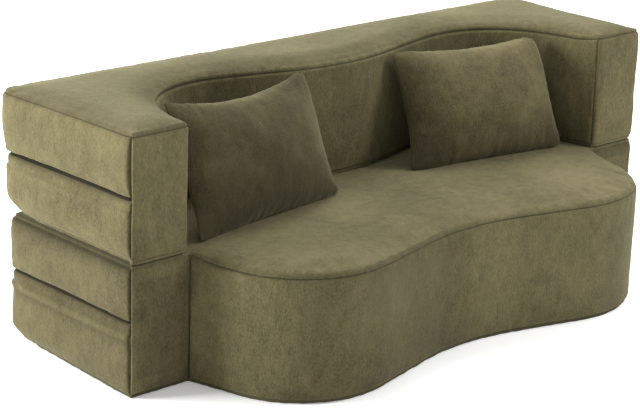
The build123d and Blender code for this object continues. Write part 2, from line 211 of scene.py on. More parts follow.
# Places along a length: even spacing, with close rows beside each seam
def spacedPlaces(low, high, spacing, seams, fine=(0, 2.5 * mm, 6 * mm, 11 * mm)):
    count = max(1, round((high - low) / spacing))
    places = list(np.linspace(low, high, count + 1))
    for seam in seams:
        close = [seam + hand * gap for gap in fine for hand in (-1, 1)]
        places = [p for p in places if abs(p - seam) > fine[-1] + 0.4 * spacing or p in (low, high)]
        places += [p for p in close if low <= p <= high]
    return np.unique(np.round(places, 7))


def unitRows(vectors):
    return vectors / np.linalg.norm(vectors, axis=1)[:, None]


# Outward normals beside the directions of an anticlockwise outline
def outward(directions):
    return np.stack([directions[:, 1], -directions[:, 0]], -1)


# Distance of each point to a closed or open line of points
def distanceTo(points, line, closed=True):
    ends = np.roll(line, -1, 0) if closed else line[1:]
    starts = line if closed else line[:-1]
    best = np.full(len(points), farAway)
    for start, end in zip(starts, ends):
        run = end - start
        size = run @ run
        if size < 1e-12:
            continue
        t = np.clip(((points - start) @ run) / size, 0, 1)
        best = np.minimum(best, np.hypot(*(points - start - t[:, None] * run).T))
    return best


def insideLoop(points, loop):
    inside = np.zeros(len(points), bool)
    for a, b in zip(loop, np.roll(loop, -1, 0)):
        crosses = (a[1] > points[:, 1]) != (b[1] > points[:, 1])
        rise = b[1] - a[1]
        if crosses.any():
            x = a[0] + (points[:, 1] - a[1]) / (rise if rise else 1) * (b[0] - a[0])
            inside ^= crosses & (points[:, 0] < x)
    return inside


def newObject(name, data):
    piece = bpy.data.objects.new(name, data)
    scene.collection.objects.link(piece)
    return piece


def meshObject(name, points, faces):
    mesh = bpy.data.meshes.new(name)
    mesh.from_pydata([tuple(p) for p in points], [], faces)
    return newObject(name, mesh)


# One value or one vector from each item of a mesh's list, as an array
def readItems(items, key, width=1):
    values = np.zeros(len(items) * width)
    items.foreach_get(key, values)
    return values.reshape(-1, width) if width > 1 else values


def coordinates(mesh):
    return readItems(mesh.vertices, "co", 3)


def setCoordinates(mesh, places):
    mesh.vertices.foreach_set("co", np.asarray(places, float).ravel())
    mesh.update()


def vertexNormals(mesh):
    return readItems(mesh.vertex_normals, "vector", 3)


def vertexValues(mesh, name):
    return readItems(mesh.attributes[name].data, "value")


def storeValues(mesh, name, values):
    layer = mesh.attributes.get(name) or mesh.attributes.new(name, "FLOAT", "POINT")
    layer.data.foreach_set("value", np.asarray(values, np.float32))


# The name of the piece that stands for a node: seatFrontBand for seat_front_band
def pieceName(node):
    first, *words = node.split("_")
    return first + "".join(word.capitalize() for word in words)


# How a cloth that is pressed out from within settles, in the modifier's own terms
clothStyle = {
    "quality": 5,
    "mass": 0.35,
    "tension_stiffness": 18.0,
    "compression_stiffness": 18.0,
    "shear_stiffness": 6.0,
    "bending_stiffness": 0.6,
    "use_pressure": True,
    "vertex_group_mass": "pins",
}
clothFrames = 20


# Presses a piece out, with its pinned points held and no point past the largest move
def inflate(piece, pins, pressure, largestMove):
    start = coordinates(piece.data)
    group = piece.vertex_groups.new(name="pins")
    group.add(np.nonzero(pins)[0].tolist(), 1.0, "REPLACE")
    modifier = piece.modifiers.new("cloth", "CLOTH")
    for key, value in clothStyle.items():
        setattr(modifier.settings, key, value)
    modifier.settings.uniform_pressure_force = pressure
    modifier.settings.effector_weights.gravity = 0
    modifier.point_cache.frame_start = 1
    modifier.point_cache.frame_end = clothFrames
    for number in range(1, clothFrames + 1):
        scene.frame_set(number)
    graph = bpy.context.evaluated_depsgraph_get()
    settled = bpy.data.meshes.new_from_object(piece.evaluated_get(graph))
    moved = coordinates(settled) - start
    bpy.data.meshes.remove(settled)
    piece.modifiers.remove(modifier)
    piece.vertex_groups.remove(group)
    scene.frame_set(1)
    size = np.linalg.norm(moved, axis=1)
    moved *= (largestMove * np.tanh(size / largestMove) / np.maximum(size, 1e-9))[:, None]
    setCoordinates(piece.data, start + moved)
    print("cloth", piece.name, "largest move %.1f mm" % (size.max() / mm))


def subdivide(piece, levels):
    modifier = piece.modifiers.new("smooth", "SUBSURF")
    modifier.levels = levels
    modifier.render_levels = levels
    modifier.uv_smooth = "NONE"
    graph = bpy.context.evaluated_depsgraph_get()
    mesh = bpy.data.meshes.new_from_object(piece.evaluated_get(graph))
    piece.modifiers.remove(modifier)
    old = piece.data
    piece.data = mesh
    bpy.data.meshes.remove(old)


# What varies round a block's outline, with one value for each column of its cover's points
def coverColumns(style):
    outline, waveCount, bends = blockOutline(style)
    closed = np.vstack([outline, outline[:1]])
    steps = np.linalg.norm(np.diff(closed, axis=0), axis=1)
    along = np.concatenate([[0], np.cumsum(steps)])
    total = along[-1]
    waveEnd = along[waveCount - 1]

    def placeAt(s):
        s = np.mod(s, total)
        return np.stack([np.interp(s, along, closed[:, i]) for i in (0, 1)], -1)

    # the upright seams: at both ends of the seat's wave, and where the outline crosses the
    # corner seams' line
    seams = []
    for s, step, a, b in zip(along, steps, closed[:-1, 1] - seamY, closed[1:, 1] - seamY):
        if (a > 0) != (b > 0):
            seams.append(float(s + step * a / (a - b)))
    if not style["turnedOver"]:
        seams = [0.0, float(waveEnd)] + [s for s in seams if s > waveEnd]
    seams = sorted(set(seams))
    columns = spacedPlaces(0, total, style["spacing"], seams + ([total] if seams[0] == 0 else []))
    columns = columns[columns < total - 1e-6]
    places = placeAt(columns)
    probe = 0.3 * mm
    ahead = unitRows(placeAt(columns + probe) - places)
    behind = unitRows(places - placeAt(columns - probe))
    tangent = ahead + behind
    normal = outward(unitRows(tangent))
    isWave = columns < waveEnd + 1e-6
    sideShare = np.where(isWave, 0.0, smoothStep(1 + normal[:, 1], 0.0, style["sideTurn"]))
    seamGap = np.full(len(columns), farAway)
    for seam in seams:
        gap = np.abs(columns - seam)
        seamGap = np.minimum(seamGap, np.minimum(gap, total - gap))

    # a rounded corner is drawn in by no more than most of its own radius, and the foot of a
    # back corner is smoothed
    largestInset = np.full(len(columns), farAway)
    cornerShare = np.zeros(len(columns))
    for first, last, radius in bends:
        middle = (along[first] + along[last]) / 2
        toMiddle = np.abs(np.mod(columns - middle + total / 2, total) - total / 2)
        beyond = np.maximum(0, toMiddle - (along[last] - along[first]) / 2)
        limit = style["cornerLimit"] * radius + style["limitSlope"] * beyond
        largestInset = np.minimum(largestInset, limit)
        if radius == style["backRadius"]:
            cornerShare = np.maximum(cornerShare, bell(toMiddle, style["footEase"]))

    # how far the side wall's foot and head are drawn in, from front to back and right to left
    backwards = np.clip((places[:, 1] - seamY) / (backY - seamY), 0, 1)
    leftwards = (halfWidth - places[:, 0]) / (2 * halfWidth)
    atFront, towardsBack, atRight = style["footShares"]
    footShare = (atFront + towardsBack * backwards) * (atRight + (1 - atRight) * leftwards)
    cornerReach = np.where(sideShare > 0.5, style["cornerReach"], style["cornerEase"])
    fromEnds = np.minimum(columns, waveEnd - columns)
    waveShare = np.where(isWave, smoothStep(fromEnds, 0.0, style["waveEase"]), 0)
    return SimpleNamespace(
        outline=outline,
        seams=seams,
        columns=columns,
        places=places,
        normal=normal,
        miter=np.minimum(2 / np.linalg.norm(tangent, axis=1), style["largestMiter"]),
        sideShare=sideShare,
        seamGap=seamGap,
        largestInset=largestInset,
        cornerShare=cornerShare,
        cornerInset=style["cornerDraw"] * rollShare(seamGap, cornerReach) * ~isWave,
        footShare=footShare,
        headShare=1 + (style["headShare"] - 1) * (1 - leftwards),
        flare=style["flare"] * (backwards * leftwards) ** 2,
        seamDrop=style["waveSeamDrop"] * waveShare,
    )


# Painted shade on a side wall at a height: darker beside the zip, on the placket, under its
# ridge and under the top seam
def paintedWallShade(style, z, placket, recess):
    zipLow, zipHigh = style["zip"]
    dark, reach = style["paintedZipShades"][0 if z < zipLow else 1]
    toZip = zipLow - z if z < zipLow else z - zipHigh
    underRidge = bell(z - placket + style["underPlace"], style["underReach"])
    return max(
        dark * math.exp(-toZip / reach),
        style["paintedPlacketShade"] * recess,
        style["paintedPlacketShade"] * style["paintedUnderShade"] * underRidge,
        style["topShade"] * math.exp(-(style["highSeam"] - z) / style["topShadeReach"]),
    )


# Rows of a cover's points, from its base's rolled edge up to its lid's, each with its insets,
# heights, level on the wall and painted shades
def coverRows(style, edge):
    low, high = style["lowSeam"], style["highSeam"]
    zipLow, zipHigh = style["zip"]
    placket = zipLow - style["placketHeight"]
    sideShare = edge.sideShare
    rows = []
    levels = spacedPlaces(
        low, high, style["spacing"], [low, high, zipLow, zipHigh, placket], style["fineRows"]
    )
    for z in levels:
        top = rollShare(high - z, style["topReach"])
        foot = rollShare(z - low, style["lowReach"])
        overZip = rollShare(z - zipHigh, style["lipReach"]) if z >= zipHigh else 1.0
        if z < zipLow:
            overZip = rollShare(zipLow - z, style["lowerLip"] * style["lipReach"])
        edgeWidth = style["placketEdge"]
        recess = smoothStep(z, placket - edgeWidth, placket + edgeWidth) * (z < zipLow)
        ridge = bell(z - placket + style["ridgePlace"], style["ridgeReach"])
        half = (z - zipHigh) / (high - zipHigh) if z > zipHigh else (zipLow - z) / (zipLow - low)
        puff = style["puff"][0 if z < zipLow else 1] * math.sin(math.pi * min(max(half, 0), 1))
        side = style["topDraw"] * edge.headShare * top + style["lowDraw"] * edge.footShare * foot
        side += style["zipDraw"] * overZip
        side += style["recess"] * recess - style["ridge"] * ridge - puff
        flareShare = style["flareFoot"] + (1 - style["flareFoot"]) * (z - low) / (high - low)
        side -= edge.flare * flareShare * (1 - overZip)
        front = style["frontTopDraw"] * top + style["frontLowDraw"] * foot
        inset = sideShare * side + (1 - sideShare) * front + edge.cornerInset
        height = z - edge.seamDrop * smoothStep(z, high - style["seamDropReach"], high)
        # painted shade on the side walls, none on the front
        shade = paintedWallShade(style, z, placket, recess) + style["sideShade"]
        rows.append((inset, height, z, sideShare * shade))

    # the rolled edge from a seam to the flat of the lid or the base, with the painted shade given
    def roll(seamZ, flatZ, width, sideDraw, frontDraw, shade):
        rolled = []
        for angle in np.linspace(0, math.pi / 2, style["rollRows"] + 1)[1:]:
            inset = sideShare * sideDraw + (1 - sideShare) * frontDraw + edge.cornerInset
            inset = inset + width * (1 - math.cos(angle))
            height = seamZ + (flatZ - seamZ) * math.sin(angle)
            rolled.append((inset, height, None, shade * sideShare))
        return rolled

    below = roll(
        np.full(len(sideShare), low), style["baseZ"], style["rollWidth"],
        style["lowDraw"] * edge.footShare, style["frontLowDraw"], 0.0,
    )
    above = roll(
        high - edge.seamDrop, style["lidZ"],
        style["rollWidth"] + style["dropWidening"] * edge.seamDrop,
        style["topDraw"] * edge.headShare - edge.flare, style["frontTopDraw"], style["topShade"],
    )
    return below[::-1], rows, above


# A lid or base inside its last ring of points: a grid, joined to the ring by triangles
def fillRing(ring, spacing):
    count = len(ring)
    low, high = ring.min(0), ring.max(0)
    xs = np.arange(low[0] + spacing, high[0], spacing)
    ys = np.arange(low[1] + spacing, high[1], spacing)
    grid = np.array([(x, y) for y in ys for x in xs])
    grid = grid[insideLoop(grid, ring)]
    grid = grid[distanceTo(grid, ring) > 0.75 * spacing]
    points = [Vector(p) for p in np.vstack([ring, grid])]
    made = delaunay_2d_cdt(points, [(i, (i + 1) % count) for i in range(count)], [], 1, 1e-7)
    numbers = [origins[0] for origins in made[3]]
    return grid, [[numbers[i] for i in face] for face in made[2]]


# The cover of one block as a single closed mesh, its panels told apart by material index
def buildCover(name, style):
    edge = coverColumns(style)
    below, rows, above = coverRows(style, edge)
    stack = below + rows + above
    zipLow, zipHigh = style["zip"]
    count = len(edge.columns)
    vertices = []
    gaps = []
    for index, (inset, z, level, shade) in enumerate(stack):
        ring = edge.places - edge.normal * (np.minimum(inset, edge.largestInset) * edge.miter)[:, None]
        ease = float(index < len(below))
        gap = np.minimum(np.abs(z - style["lowSeam"]), np.abs(z - style["highSeam"] + edge.seamDrop))
        if level is not None:
            ease = rollShare(level - style["lowSeam"], style["lowReach"])
            toZip = min(abs(level - zipLow), abs(level - zipHigh))
            gap = np.minimum(gap, edge.seamGap)
            gap = np.where(edge.sideShare > 0.5, np.minimum(gap, toZip), gap)
        for _ in range(style["footRounds"] if ease > 0 else 0):
            between = (np.roll(ring, 1, 0) + np.roll(ring, -1, 0)) / 2
            ring = ring + (0.5 * ease * edge.cornerShare)[:, None] * (between - ring)
        vertices.append(np.column_stack([ring, z]))
        gaps.append(gap)
    flat = np.vstack(vertices)
    faces = []
    panels = []
    names = list(style["panels"])
    seams = edge.seams
    runs = [style["runs"][sum(s + 0.1 * mm > seam for seam in seams) % len(seams)] for s in edge.columns]
    for index in range(len(stack) - 1):
        lower, upper = stack[index][2], stack[index + 1][2]
        band = "base" if index < len(below) else "lid"
        isWall = lower is not None and upper is not None
        if isWall:
            z = (lower + upper) / 2
            band = "lower" if z < zipLow else "tape" if z < zipHigh else "upper"
        for column, run in enumerate(runs):
            a = index * count + column
            b = index * count + (column + 1) % count
            faces.append((a, b, b + count, a + count))
            panels.append(names.index(run if isWall and run != "side" else band))

    gaps = list(np.concatenate(gaps))
    # the rows' painted shade, none on the inner grids of the lid and base
    shades = np.concatenate([row[3] for row in stack])
    points = [flat]
    offset = len(flat)
    for part, start in (("base", 0), ("lid", (len(stack) - 1) * count)):
        grid, corners = fillRing(flat[start:start + count, :2], style[f"{part}Spacing"])
        points.append(np.column_stack([grid, np.full(len(grid), style[f"{part}Z"])]))
        gaps += [farAway] * len(grid)
        for face in corners:
            face = [start + i if i < count else offset + i - count for i in face]
            faces.append(face if part == "lid" else face[::-1])
            panels.append(names.index(part))
        offset += len(grid)
    piece = meshObject(name, np.vstack(points), faces)
    mesh = piece.data
    mesh.polygons.foreach_set("material_index", panels)
    storeValues(mesh, "seamGap", gaps)
    storeValues(mesh, "bandShade", np.concatenate([shades, np.zeros(offset - len(shades))]))
    for _ in names:
        mesh.materials.append(None)

    # pairs of the lids' triangles become squares
    work = bmesh.new()
    work.from_mesh(mesh)
    triangles = [f for f in work.faces if len(f.verts) == 3]
    bmesh.ops.join_triangles(
        work, faces=triangles, angle_face_threshold=0.2, angle_shape_threshold=0.35
    )
    bmesh.ops.recalc_face_normals(work, faces=work.faces)
    work.to_mesh(mesh)
    work.free()
    return piece, edge.outline


zipHem = 1.9 * mm  # the part of the zip's tape under each lip of its slit
touching = 0.5 * mm  # how near a level a point counts as on it

# Seat block: the dome inside the cavity follows the wave and its mirror image
seatStyle = {
    "turnedOver": False,
    # the outline's corners and the spacing of the points
    "frontRadius": 12 * mm,
    "backRadius": 30 * mm,
    "spacing": 13 * mm,
    "fineRows": (0, 2 * mm, 5 * mm, 9 * mm),
    "lidSpacing": 16 * mm,
    "baseSpacing": 40 * mm,
    "sideTurn": 0.9,
    "largestMiter": 1.6,
    "cornerLimit": 0.74,
    "limitSlope": 0.7,
    # heights of the seams, the flats and the zip's slit
    "lowSeam": seatBaseHigh.z,
    "highSeam": seatLidLow.z,
    "baseZ": 0.0,
    "lidZ": seatLidLow.z + seatBaseHigh.z,
    "zip": (seatZipLow.z + zipHem, seatZipHigh.z - zipHem),
    # how far the walls are drawn in at their seams
    "topDraw": 9 * mm,
    "topReach": 26 * mm,
    "lowDraw": 14 * mm,
    "lowReach": 40 * mm,
    "frontTopDraw": 2.5 * mm,
    "frontLowDraw": 5 * mm,
    "footShares": (0.2, 1.9, 1.0),  # at the front, more towards the back, at the right
    "headShare": 1.0,
    "flare": 0.0,
    "flareFoot": 0.25,
    "footEase": 65 * mm,
    "footRounds": 110,
    "cornerDraw": 8 * mm,
    "cornerReach": 40 * mm,
    "cornerEase": 7 * mm,
    "waveEase": 90 * mm,
    "waveSeamDrop": 11 * mm,
    "seamDropReach": 90 * mm,
    "dropWidening": 0.7,
    "rollRows": 4,
    "rollWidth": 10 * mm,
    # the zip's slit, and the placket under it with its ridge
    "zipDraw": 8 * mm,
    "lipReach": 2.6 * mm,
    "lowerLip": 1.3,
    "placketHeight": 30 * mm,
    "placketEdge": 3 * mm,
    "recess": 3.2 * mm,
    "ridge": 4.5 * mm,
    "ridgePlace": 6 * mm,
    "ridgeReach": 6 * mm,
    "puff": (3.0 * mm, 3.0 * mm),
    # painted shade on the side walls, and how dark their random crushed patches are
    "sideShade": 0.21,
    "paintedZipShades": ((0.42, 9 * mm), (0.2, 6 * mm)),
    "paintedPlacketShade": 0.24,
    "paintedUnderShade": 1.3,
    "underPlace": 22 * mm,
    "underReach": 10 * mm,
    "topShade": 0.6,
    "topShadeReach": 18 * mm,
    "crushShade": 0.32,
    # the crown and how the cover is pressed out
    "domeHeight": 5 * mm,
    "domeInsets": (30 * mm, 125 * mm),
    "pinReach": 1.2 * mm,
    "pressure": 3.0,
    "largestMove": 7 * mm,
    # panels in the order of their numbers, with the nodes that they stand for
    "panels": {
        "front": "seat_front_band",
        "shoulderRight": "seat_shoulder_panel_right",
        "shoulderLeft": "seat_shoulder_panel_left",
        "lower": "seat_side_band_lower",
        "tape": "seat_zip_tape",
        "upper": "seat_side_band_upper",
        "base": "seat_bottom_panel",
        "lid": "seat_top_panel",
    },
    "runs": ["shoulderLeft", "front", "shoulderRight", "side"],
    "finishes": {"base": "base_cloth", "tape": "zip_tape"},
}

backStyle = dict(
    seatStyle,
    turnedOver=True,
    tipRadius=15 * mm,
    lowSeam=backBaseHigh.z,
    highSeam=backLidLow.z,
    baseZ=backBaseLow.z,
    lidZ=backLidLow.z + (backBaseHigh.z - backBaseLow.z),
    zip=(backZipLow.z + zipHem, backZipHigh.z - zipHem),
    topDraw=4 * mm,
    topReach=16 * mm,
    lowDraw=17 * mm,
    lowReach=44 * mm,
    frontLowDraw=2.5 * mm,
    footShares=(1.0, 0.0, 0.35),
    headShare=3.0,
    flare=18 * mm,
    ridge=1.6 * mm,
    puff=(4.0 * mm, 8.0 * mm),
    # painted shade on the back's side walls, and how dark their random crushed patches are
    sideShade=0.0,
    paintedPlacketShade=0.08,
    topShade=0.0,
    crushShade=0.12,
    domeHeight=8 * mm,
    domeInsets=(6 * mm, 70 * mm),
    panels={
        "cavity": "back_cavity_band",
        "armRight": "arm_front_panel_right",
        "armLeft": "arm_front_panel_left",
        "lower": "back_side_band_lower",
        "tape": "back_zip_tape",
        "upper": "back_side_band_upper",
        "base": "back_sleep_panel",
        "lid": "back_top_panel",
    },
    runs=["armLeft", "cavity", "armRight", "side"],
    finishes={"tape": "zip_tape"},
)


# Crowns the lid: the seat's lies in the cavity, the back's all over it. Gives the points
# that the other block covers.
def crownLid(piece, style, outline):
    places = coordinates(piece.data)
    lid = places[:, 2] > style["lidZ"] - touching
    loop = outline
    if not style["turnedOver"]:
        loop = np.vstack([waveLine(0.0, foldY, False), waveLine(0.0, foldY, True)[::-1]])
    points = places[lid][:, :2]
    gap = np.where(insideLoop(points, loop), distanceTo(points, loop), 0.0)
    places[lid, 2] += style["domeHeight"] * smoothStep(gap, *style["domeInsets"])
    setCoordinates(piece.data, places)
    covered = np.zeros(len(places), bool)
    covered[lid] = (gap <= 0) & (not style["turnedOver"])
    return covered


# Seams sink into the pile and pucker the cloth beside them; the faces have broad soft dents.
# What holds the covers apart is here too.
surfaceStyle = {
    "grooveDepth": 2.8 * mm,
    "grooveReach": 3.6 * mm,
    "lipHeight": 1.1 * mm,
    "lipPlace": 9 * mm,
    "lipReach": 5.4 * mm,
    "puckerHeight": 1.3 * mm,
    "puckerLength": 16 * mm,
    "puckerStretch": np.array([1.0, 1.0, 0.45]),
    "puckerRatio": 2.1,
    "puckerStart": 8 * mm,
    "puckerReach": 34 * mm,
    "dentHeight": 3.0 * mm,
    "dentLength": 210 * mm,
    "dentStart": 60 * mm,
    "rippleHeight": 1.0 * mm,
    "rippleLength": 55 * mm,
    "rippleStretch": np.array([1.0, 1.0, 1.8]),
    "rippleAway": 0.4,
    "restBelow": 1 * mm,
    "restAbove": 2 * mm,
    "lineShade": 0.72,
    "lineReach": 1.9 * mm,
    "foldReach": 11 * mm,
    "foldDepth": 14 * mm,
    "foldLine": 0.95,
    "faceReach": 2.2 * mm,
    "waveReach": 3.0 * mm,
    "holdReach": 30 * mm,
}

# Random crushed patches on the upright faces, and painted shade: on the seat's front where it
# turns to the right, on the shoulders beside the lobes and under the right arm, on the sides
# next to their front corners and on the top of the back
crushAndShadeStyle = {
    "cavityBack": 60 * mm,
    "cloudLength": 120 * mm,
    "cloudStretch": np.array([1.0, 1.0, 1.6]),
    "cloudRatio": 2.6,
    "cloudEdges": (0.1, 0.9),
    "paintedDipShade": 0.38,
    "dipShare": 0.55,
    "dipTurn": (-0.12, 0.12),
    "lobeTurn": (-0.7, -0.3),
    "lobeWidth": 250 * mm,
    "paintedCornerShade": 0.24,
    "cornerReach": 30 * mm,
    "sideDepth": 25 * mm,
    "paintedLidShade": 0.25,
    "lidTilt": 0.7,
    "shoulderShade": 0.45,
    "shoulderStart": 2 * mm,
    "shoulderDepth": 14 * mm,
    "shoulderReach": 38 * mm,
    "underArmReach": 75 * mm,
}


def crushAndPaintedShade(places, normals, seed, crushShade):
    style = crushAndShadeStyle
    x, y, z = places.T
    across, _, upwards = normals.T
    inCavity = (np.abs(x) < bandHigh.x) & (y > foldY) & (y < backY - style["cavityBack"]) & (z > foldZ)
    upright = (1 - np.abs(upwards)) * ~inCavity
    scaled = places * style["cloudStretch"] / style["cloudLength"]
    cloud = layeredNoise(scaled, style["cloudRatio"], seed + 5)
    shade = crushShade * smoothStep(cloud, *style["cloudEdges"]) * upright
    # painted shade on the seat's front where it turns right, and on the left lobe
    onFront = (y < foldY) & (z < seatLidLow.z)
    onLobe = smoothStep(across, *style["lobeTurn"]) * smoothStep(-x, 0.0, style["lobeWidth"])
    turned = style["dipShare"] * smoothStep(across, *style["dipTurn"])
    turned += (1 - style["dipShare"]) * onLobe
    shade = np.maximum(shade, style["paintedDipShade"] * turned * onFront)
    # painted shade on the sides next to their front corners, on the back's top and on the shoulders
    onSide = (np.abs(x) > halfWidth - style["sideDepth"]) & (y > seamY)
    besideCorner = np.exp((seamY - y) / style["cornerReach"]) * onSide
    shade = np.maximum(shade, style["paintedCornerShade"] * besideCorner)
    onLid = (z > backLidLow.z) & (upwards > style["lidTilt"])
    shade = np.maximum(shade, style["paintedLidShade"] * onLid)
    beside = np.abs(x) - bandHigh.x
    onShoulder = (beside > -style["shoulderStart"]) & (y > foldY) & (z < seatLidLow.z)
    onShoulder &= y < foldY + style["shoulderDepth"]
    inCorner = np.exp(-np.maximum(beside, 0) / style["shoulderReach"])
    underArm = np.exp(-(seatLidLow.z - z) / style["underArmReach"]) * (x > 0)
    return np.maximum(shade, style["shoulderShade"] * np.maximum(inCorner, underArm) * onShoulder)


def finishSurface(piece, style, seed):
    surface = surfaceStyle
    mesh = piece.data
    places = coordinates(mesh)
    normals = vertexNormals(mesh)
    y, z = places[:, 1], places[:, 2]
    gap = vertexValues(mesh, "seamGap")
    near = np.exp(-gap / surface["puckerReach"])
    scaled = places * surface["puckerStretch"] / surface["puckerLength"]
    pucker = layeredNoise(scaled, surface["puckerRatio"], seed)
    dent = latticeNoise(places / surface["dentLength"], seed + 2)
    ripple = latticeNoise(places * surface["rippleStretch"] / surface["rippleLength"], seed + 3)
    atFold = bell(z - foldZ, surface["foldReach"])
    groove = bell(gap, surface["grooveReach"])
    groove *= 1 - atFold * (y > foldY) * (y < foldY + surface["foldDepth"])
    out = surface["puckerHeight"] * pucker * near * smoothStep(gap, 0, surface["puckerStart"])
    out += surface["dentHeight"] * dent * smoothStep(gap, 0, surface["dentStart"])
    away = surface["rippleAway"]
    out += surface["rippleHeight"] * ripple * (away + (1 - away) * near)
    out += surface["lipHeight"] * bell(gap - surface["lipPlace"], surface["lipReach"])
    out -= surface["grooveDepth"] * groove
    # the faces that lie on the floor or on the other block don't swell
    resting = z < style["baseZ"] + surface["restBelow"]
    if not style["turnedOver"]:
        resting |= z > style["lidZ"] - surface["restAbove"]
    out = np.where(resting, np.minimum(out, 0), out)
    setCoordinates(mesh, places + normals * out[:, None])
    # dark seam lines, with the walls' painted shade, random crushed patches and painted shade joined in
    line = surface["lineShade"] * bell(gap, surface["lineReach"])
    line *= 1 - surface["foldLine"] * atFold
    shade = np.maximum(line, vertexValues(mesh, "bandShade"))
    shade = np.maximum(shade, crushAndPaintedShade(places, normals, seed, style["crushShade"]))
    storeValues(mesh, "seamsPatchesAndPaintedShade", shade)


# Keeps the two covers' facing walls apart when the sofa is unfolded
def holdBack(piece, style, outline):
    mesh = piece.data
    places = coordinates(mesh)
    normals = vertexNormals(mesh)
    waveEdge = bandHigh.x + wave["gap"]
    faceY = foldY + wave["faceGap"]
    line = waveLine(wave["gap"] if style["turnedOver"] else 0.0, faceY, style["turnedOver"])
    near = np.abs(places[:, 0]) < waveEdge
    near &= (places[:, 1] > foldY) == style["turnedOver"]
    near[near] = ~insideLoop(places[near][:, :2], outline)
    gap = distanceTo(places[near][:, :2], line, False)
    reach = surfaceStyle["waveReach"]
    back = np.where(gap < surfaceStyle["holdReach"], gap - reach * np.tanh(gap / reach), 0)
    places[near, :2] -= normals[near, :2] * back[:, None]
    ahead = np.where(np.abs(places[:, 0]) > waveEdge, faceY - places[:, 1], 0)
    reach = surfaceStyle["faceReach"]
    places[:, 1] += np.where(ahead > 0, ahead - reach * np.tanh(ahead / reach), 0)
    setCoordinates(mesh, places)


def makeCover(name, style, seed):
    piece, outline = buildCover(name, style)
    covered = crownLid(piece, style, outline)
    resting = coordinates(piece.data)[:, 2] < style["baseZ"] + touching
    sewn = vertexValues(piece.data, "seamGap") < style["pinReach"]
    inflate(piece, sewn | covered | resting, style["pressure"], style["largestMove"])
    subdivide(piece, 1)
    finishSurface(piece, style, seed)
    holdBack(piece, style, outline)
    print("stage:", name, len(piece.data.vertices), "points")
    return piece, outline


# Parts a mesh by its faces' panel numbers, and gives each panel its name, body and finish
def separatePanels(piece, panels, body, finishes):
    parts = []
    for number, (panel, node) in enumerate(panels.items()):
        work = bmesh.new()
        work.from_mesh(piece.data)
        others = [f for f in work.faces if f.material_index != number]
        bmesh.ops.delete(work, geom=others, context="FACES")
        for face in work.faces:
            face.material_index = 0
            face.smooth = True
        mesh = bpy.data.meshes.new(pieceName(node))
        work.to_mesh(mesh)
        work.free()
        part = newObject(pieceName(node), mesh)
        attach(part, body)
        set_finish(part, finishes.get(panel, "block_velvet"))
        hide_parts(node)
        parts.append(part)
    bpy.data.objects.remove(piece)
    return parts


seatCover, seatOutline = makeCover("seatCover", seatStyle, 11)
backCover, backOutline = makeCover("backCover", backStyle, 23)


# Camera at the photograph's viewing angle
cameraStyle = {
    "place": (-4.1295, -4.2167, 2.2405),
    "yaw": 0.7528,
    "pitch": 0.3186,
    "roll": 0.0352,
    "lens": 125.42,
    "shift": (-0.0234, 0.0033),
}


def addCamera():
    yaw, pitch, roll = (cameraStyle[k] for k in ("yaw", "pitch", "roll"))
    ahead = Vector((math.sin(yaw) * math.cos(pitch), math.cos(yaw) * math.cos(pitch), -math.sin(pitch)))
    level = Vector((math.cos(yaw), -math.sin(yaw), 0))
    upright = level.cross(ahead)
    right = level * math.cos(roll) + upright * math.sin(roll)
    up = upright * math.cos(roll) - level * math.sin(roll)
    data = bpy.data.cameras.new("camera")
    data.lens = cameraStyle["lens"]
    data.shift_x, data.shift_y = cameraStyle["shift"]
    data.clip_end = 60
    camera = bpy.data.objects.new("camera", data)
    scene.collection.objects.link(camera)
    matrix = Matrix((right, up, -ahead)).transposed().to_4x4()
    matrix.translation = Vector(cameraStyle["place"])
    camera.matrix_world = matrix
    scene.camera = camera


addCamera()

seatParts = separatePanels(
    seatCover, seatStyle["panels"], "seat_base", seatStyle["finishes"]
)
backParts = separatePanels(
    backCover, backStyle["panels"], "back_block", backStyle["finishes"]
)
print("stage: panels", len(seatParts) + len(backParts))


# The foam inside a cover, with eased edges, clear of the sunken seams
foamStyle = {
    "inset": 30 * mm,
    "ease": 8 * mm,
    "layer": 50 * mm,
    "clearance": 14 * mm,
    "gap": 1 * mm,
    "pointSpacing": 30 * mm,
}


def foamBlock(node, outline, low, high, body):
    points = [outline[0]]
    for point in outline[1:]:
        if np.linalg.norm(point - points[-1]) > foamStyle["pointSpacing"]:
            points.append(point)
    points = np.array(points)
    count = len(points)
    normal = outward(unitRows(np.roll(points, -1, 0) - np.roll(points, 1, 0)))
    ease = foamStyle["ease"]
    rings = []
    for z, extra in ((low, ease), (low + ease, 0), (high - ease, 0), (high, ease)):
        ring = points - normal * (foamStyle["inset"] + extra)
        rings.append(np.column_stack([ring, np.full(count, z)]))
    faces = []
    for row in range(len(rings) - 1):
        for i in range(count):
            a, b = row * count + i, row * count + (i + 1) % count
            faces.append((a, b, b + count, a + count))
    faces.append(tuple(range(count - 1, -1, -1)))
    faces.append(tuple(range((len(rings) - 1) * count, len(rings) * count)))
    piece = meshObject(pieceName(node), np.vstack(rings), faces)
    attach(piece, body)
    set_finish(piece, node.split("_", 1)[1])
    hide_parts(node)
    return piece


seatLayer = seatStyle["lidZ"] - foamStyle["layer"]
backLayer = backStyle["baseZ"] + foamStyle["layer"]
clear, gap = foamStyle["clearance"], foamStyle["gap"]
foams = [
    foamBlock("seat_support_foam", seatOutline, clear, seatLayer, "seat_base"),
    foamBlock(
        "seat_comfort_foam", seatOutline, seatLayer + gap, seatStyle["lidZ"] - clear, "seat_base"
    ),
    foamBlock(
        "back_comfort_foam", backOutline, backStyle["baseZ"] + clear, backLayer, "back_block"
    ),
    foamBlock(
        "back_support_foam", backOutline, backLayer + gap, backStyle["lidZ"] - clear, "back_block"
    ),
]


